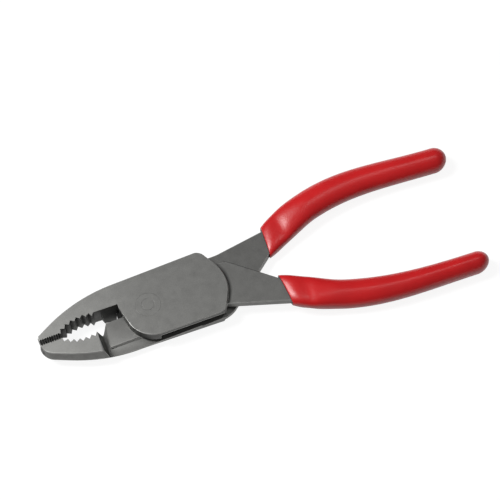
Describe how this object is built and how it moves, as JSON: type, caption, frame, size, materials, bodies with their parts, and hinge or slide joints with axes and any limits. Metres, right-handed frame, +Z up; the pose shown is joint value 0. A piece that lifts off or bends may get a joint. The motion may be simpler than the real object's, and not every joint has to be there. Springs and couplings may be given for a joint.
{
  "type": "combination pliers",
  "caption": "Slip-joint combination pliers with fine and coarse jaw teeth, a wire-cutter notch, a flush pivot pin in a keyed slot and dipped handles.",
  "frame": {"origin": "the pivot axis on the plane of the back face, which the tool lies on", "axes": "+X along the tool towards the handles, +Y towards the upper jaw, +Z up through the joint to the front plate"},
  "size_m": [0.2045, 0.0695, 0.0115],
  "materials": {
    "forged_steel": "matte grey, blasted after forging",
    "pivot_steel": "ground flush, matte grey",
    "grip_vinyl": "glossy dipped vinyl"
  },
  "bodies": {
    "rear_half": {"rear_lever": "forged_steel", "upper_grip": "grip_vinyl"},
    "pivot": {"pivot_pin": "pivot_steel", "pivot_washer": "pivot_steel"},
    "front_half": {"front_lever": "forged_steel", "lower_grip": "grip_vinyl"}
  },
  "joints": [
    {"name": "slip", "type": "slide", "parent": "rear_half", "child": "pivot", "axis": [-0.4226, 0.9063, 0], "range_m": [0, 0.0065]},
    {"name": "jaw_pivot", "type": "hinge", "parent": "pivot", "child": "front_half", "pos_m": [0, 0, 0.00575], "axis": [0, 0, -1], "range_deg": [-2, 40]}
  ]
}
